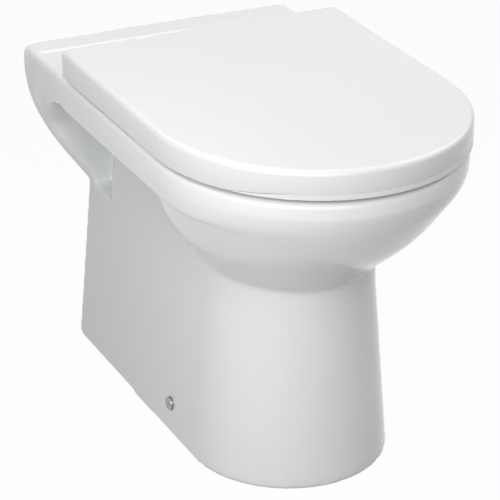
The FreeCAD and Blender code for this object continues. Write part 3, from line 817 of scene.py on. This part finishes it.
side_rows = (hinge_y, plate_meets_roll, notch_low_y, plate_rear, 120.0, 88.0, 55.0, 22.0, -12.0, -45.0, -78.0)
lid_path = lid_outline(side_rows)
lid_rings = []
for (x, y), (normal_x, normal_y) in lid_path:
    lid_rings.append([lid_point(x - normal_x * inset, y - normal_y * inset, z)
                      for inset, z in skirt_profile(lid_low + skirt_rise(y))])
lid_sheet(lid_rings)
for ring in (lid_rings[0], lid_rings[-1]):
    lid_build.faces.new(ring)

# The plate's upper and lower faces, from the roll to the front; columns are shares of the width.
across = [-1.0, -0.90, -0.80, -0.70, -0.60, -notch_outer / roll_half, -0.41, -notch_inner / roll_half,
          -0.21, -0.10]
across = across + [0.0] + [-share for share in reversed(across)]
tip = len(lid_path) // 2
for edge, z in ((-1, lid_top), (0, lid_under)):
    rows = []
    for index in range(side_rows.index(plate_rear), tip):
        first, last = lid_rings[index][edge], lid_rings[-1 - index][edge]
        reach_x, y = last.co.x / MM, first.co.y / MM
        rows.append([first] + [lid_point(share * reach_x, y, z) for share in across[1:-1]] + [last])
    lid_sheet(rows)
    for point, following in zip(rows[-1], rows[-1][1:]):
        lid_build.faces.new((point, following, lid_rings[tip][edge]))

# The roll behind the plate, its two notches and the bores for the bushes.
roll_end = -180.0 - math.degrees(math.asin((lid_under - hinge_z) / roll_radius))
roll_arc = hinge_arc(roll_radius, 90, roll_end, roll_steps)
notch_start = math.degrees(math.atan2(lid_top - hinge_z, notch_top_y - hinge_y))
notch_end = math.degrees(math.atan2(lid_under - hinge_z, notch_low_y - hinge_y))
notch_arc = hinge_arc(notch_radius, notch_start, notch_end, notch_steps)
top_run = [(plate_rear, lid_top), (notch_low_y, lid_top), (plate_meets_roll, lid_top)]
roll_run = top_run + [(notch_top_y, lid_top)] + roll_arc
roll_run += [(notch_low_y, lid_under), (plate_rear, lid_under)]
notch_run = top_run + notch_arc + [(plate_rear, lid_under)]
column_x = [share * roll_half for share in across]
for x0, x1 in zip(column_x, column_x[1:]):
    in_notch = notch_inner < abs(x0 + x1) / 2 < notch_outer
    run = notch_run if in_notch else roll_run
    for (y0, z0), (y1, z1) in zip(run, run[1:]):
        corners = ((x0, y0, z0), (x0, y1, z1), (x1, y1, z1), (x1, y0, z0))
        lid_build.faces.new([lid_point(*corner) for corner in corners])
for x in (notch_inner, notch_outer):
    for side in (-1, 1):
        cheek = roll_arc + list(reversed(notch_arc))
        lid_build.faces.new([lid_point(side * x, y, z) for y, z in cheek])
for side in (-1, 1):
    roll_face = roll_arc + [(hinge_y, lid_under)]
    lid_build.faces.new([lid_point(side * roll_half, y, z) for y, z in roll_face])
bmesh.ops.remove_doubles(lid_build, verts=lid_build.verts, dist=lid_weld)
lid = piece_from("seat_lid", lid_build)
bore_start, bore_end = notch_inner - bush_reach, notch_outer + bush_reach
for side in (-1, 1):
    cut_bore(lid, side * (bore_start + bore_end) / 2, bore_end - bore_start)
soften(lid)
lid.data.materials.append(seat_plastic)
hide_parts("lid")
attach(lid, "lid_body")


# The stage: a pale floor that keeps a soft shadow, a white room, soft lamps and the photograph's camera.
# The floor and the room look white to the camera and in reflections, and the room gives no light itself.
# The lamps light the object at a plain level.
def seen_rays(tree):
    """1 for the rays that show the stage itself: camera, mirror and see-through rays."""
    path = tree.nodes.new("ShaderNodeLightPath")
    camera_or_mirror = either(tree, path.outputs["Is Camera Ray"], path.outputs["Is Glossy Ray"])
    return either(tree, camera_or_mirror, path.outputs["Is Transmission Ray"])


def direction(azimuth, elevation):
    """From the object towards a lamp or the camera; the azimuth is 0 in front and grows to the right."""
    side = math.radians(azimuth)
    rise = math.radians(elevation)
    return Vector((math.sin(side) * math.cos(rise), -math.cos(side) * math.cos(rise), math.sin(rise)))


room_glow = 0.0
white_look = 1.0
world = bpy.data.worlds.new("white_room")
bpy.context.scene.world = world
world.use_nodes = True
room = world.node_tree
soft_light = room.nodes["Background"]
soft_light.inputs["Color"].default_value = (1.0, 1.0, 1.0, 1.0)
soft_light.inputs["Strength"].default_value = room_glow
white_view = room.nodes.new("ShaderNodeBackground")
white_view.inputs["Color"].default_value = (1.0, 1.0, 1.0, 1.0)
white_view.inputs["Strength"].default_value = white_look
room_mix = room.nodes.new("ShaderNodeMixShader")
room.links.new(seen_rays(room), room_mix.inputs["Fac"])
room.links.new(soft_light.outputs["Background"], room_mix.inputs[1])
room.links.new(white_view.outputs["Background"], room_mix.inputs[2])
room.links.new(room_mix.outputs["Shader"], room.nodes["World Output"].inputs["Surface"])

floor_half = 8.0
floor_white = 0.96
floor_shadow_grey = (0.80, 0.80, 0.80, 1.0)
floor_bounce_grey = (0.40, 0.40, 0.40, 1.0)
floor_mesh = bpy.data.meshes.new("floor")
corners = [(-floor_half, -floor_half, 0), (floor_half, -floor_half, 0),
           (floor_half, floor_half, 0), (-floor_half, floor_half, 0)]
floor_mesh.from_pydata(corners, [], [(0, 1, 2, 3)])
floor = new_piece("floor", floor_mesh)
floor_material = bpy.data.materials.new("pale_floor")
floor_material.use_nodes = True
floor_tree = floor_material.node_tree
floor_tree.nodes.clear()
bounce = floor_tree.nodes.new("ShaderNodeBsdfDiffuse")
bounce.inputs["Color"].default_value = floor_bounce_grey
pale = floor_tree.nodes.new("ShaderNodeBsdfDiffuse")
pale.inputs["Color"].default_value = floor_shadow_grey
white = floor_tree.nodes.new("ShaderNodeEmission")
white.inputs["Strength"].default_value = white_look
look = floor_tree.nodes.new("ShaderNodeMixShader")
look.inputs["Fac"].default_value = floor_white
floor_tree.links.new(pale.outputs["BSDF"], look.inputs[1])
floor_tree.links.new(white.outputs["Emission"], look.inputs[2])
floor_mix = floor_tree.nodes.new("ShaderNodeMixShader")
floor_tree.links.new(seen_rays(floor_tree), floor_mix.inputs["Fac"])
floor_tree.links.new(bounce.outputs["BSDF"], floor_mix.inputs[1])
floor_tree.links.new(look.outputs["Shader"], floor_mix.inputs[2])
floor_output = floor_tree.nodes.new("ShaderNodeOutputMaterial")
floor_tree.links.new(floor_mix.outputs["Shader"], floor_output.inputs["Surface"])
floor.data.materials.append(floor_material)

# Each lamp's name, azimuth, elevation, distance in metres, width in metres and power in watts.
lamps = [
    ("front", -25, 22, 1.40, 1.00, 5.4),
    ("front_high", -25, 40, 1.40, 1.10, 3.8),
    ("front_left", -58, 20, 1.35, 0.90, 6.9),
    ("left_high", -90, 52, 1.00, 0.40, 2.0),
    ("right_front", 45, 45, 1.40, 1.00, 3.7),
    ("right", 90, 45, 1.30, 0.90, 4.3),
    ("right_rear", 120, 60, 1.30, 0.80, 1.8),
    ("rear", 180, 60, 1.30, 0.90, 4.4),
]
lamp_aim = Vector((0.0, 0.0, 0.24))
for name, azimuth, elevation, distance, width, power in lamps:
    lamp_data = bpy.data.lights.new(name, "AREA")
    lamp_data.shape = "SQUARE"
    lamp_data.size = width
    lamp_data.energy = power
    lamp = new_piece(name, lamp_data)
    away = direction(azimuth, elevation)
    lamp.location = lamp_aim + away * distance
    lamp.rotation_euler = away.to_track_quat("Z", "Y").to_euler()
    lamp.visible_camera = False

camera_place = Vector((-1.09046, -2.23612, 1.37997))
camera_azimuth = -25.64
camera_elevation = 25.01
camera_data = bpy.data.cameras.new("camera")
camera_data.sensor_width = 36.0
camera_data.lens = 168.99
camera = new_piece("camera", camera_data)
back = direction(camera_azimuth, camera_elevation)
right = Vector((math.cos(math.radians(camera_azimuth)), math.sin(math.radians(camera_azimuth)), 0))
camera_turn = Matrix((right, back.cross(right), back)).transposed().to_4x4()
camera.matrix_world = Matrix.Translation(camera_place) @ camera_turn
bpy.context.scene.camera = camera
bpy.context.scene.view_settings.view_transform = "Standard"
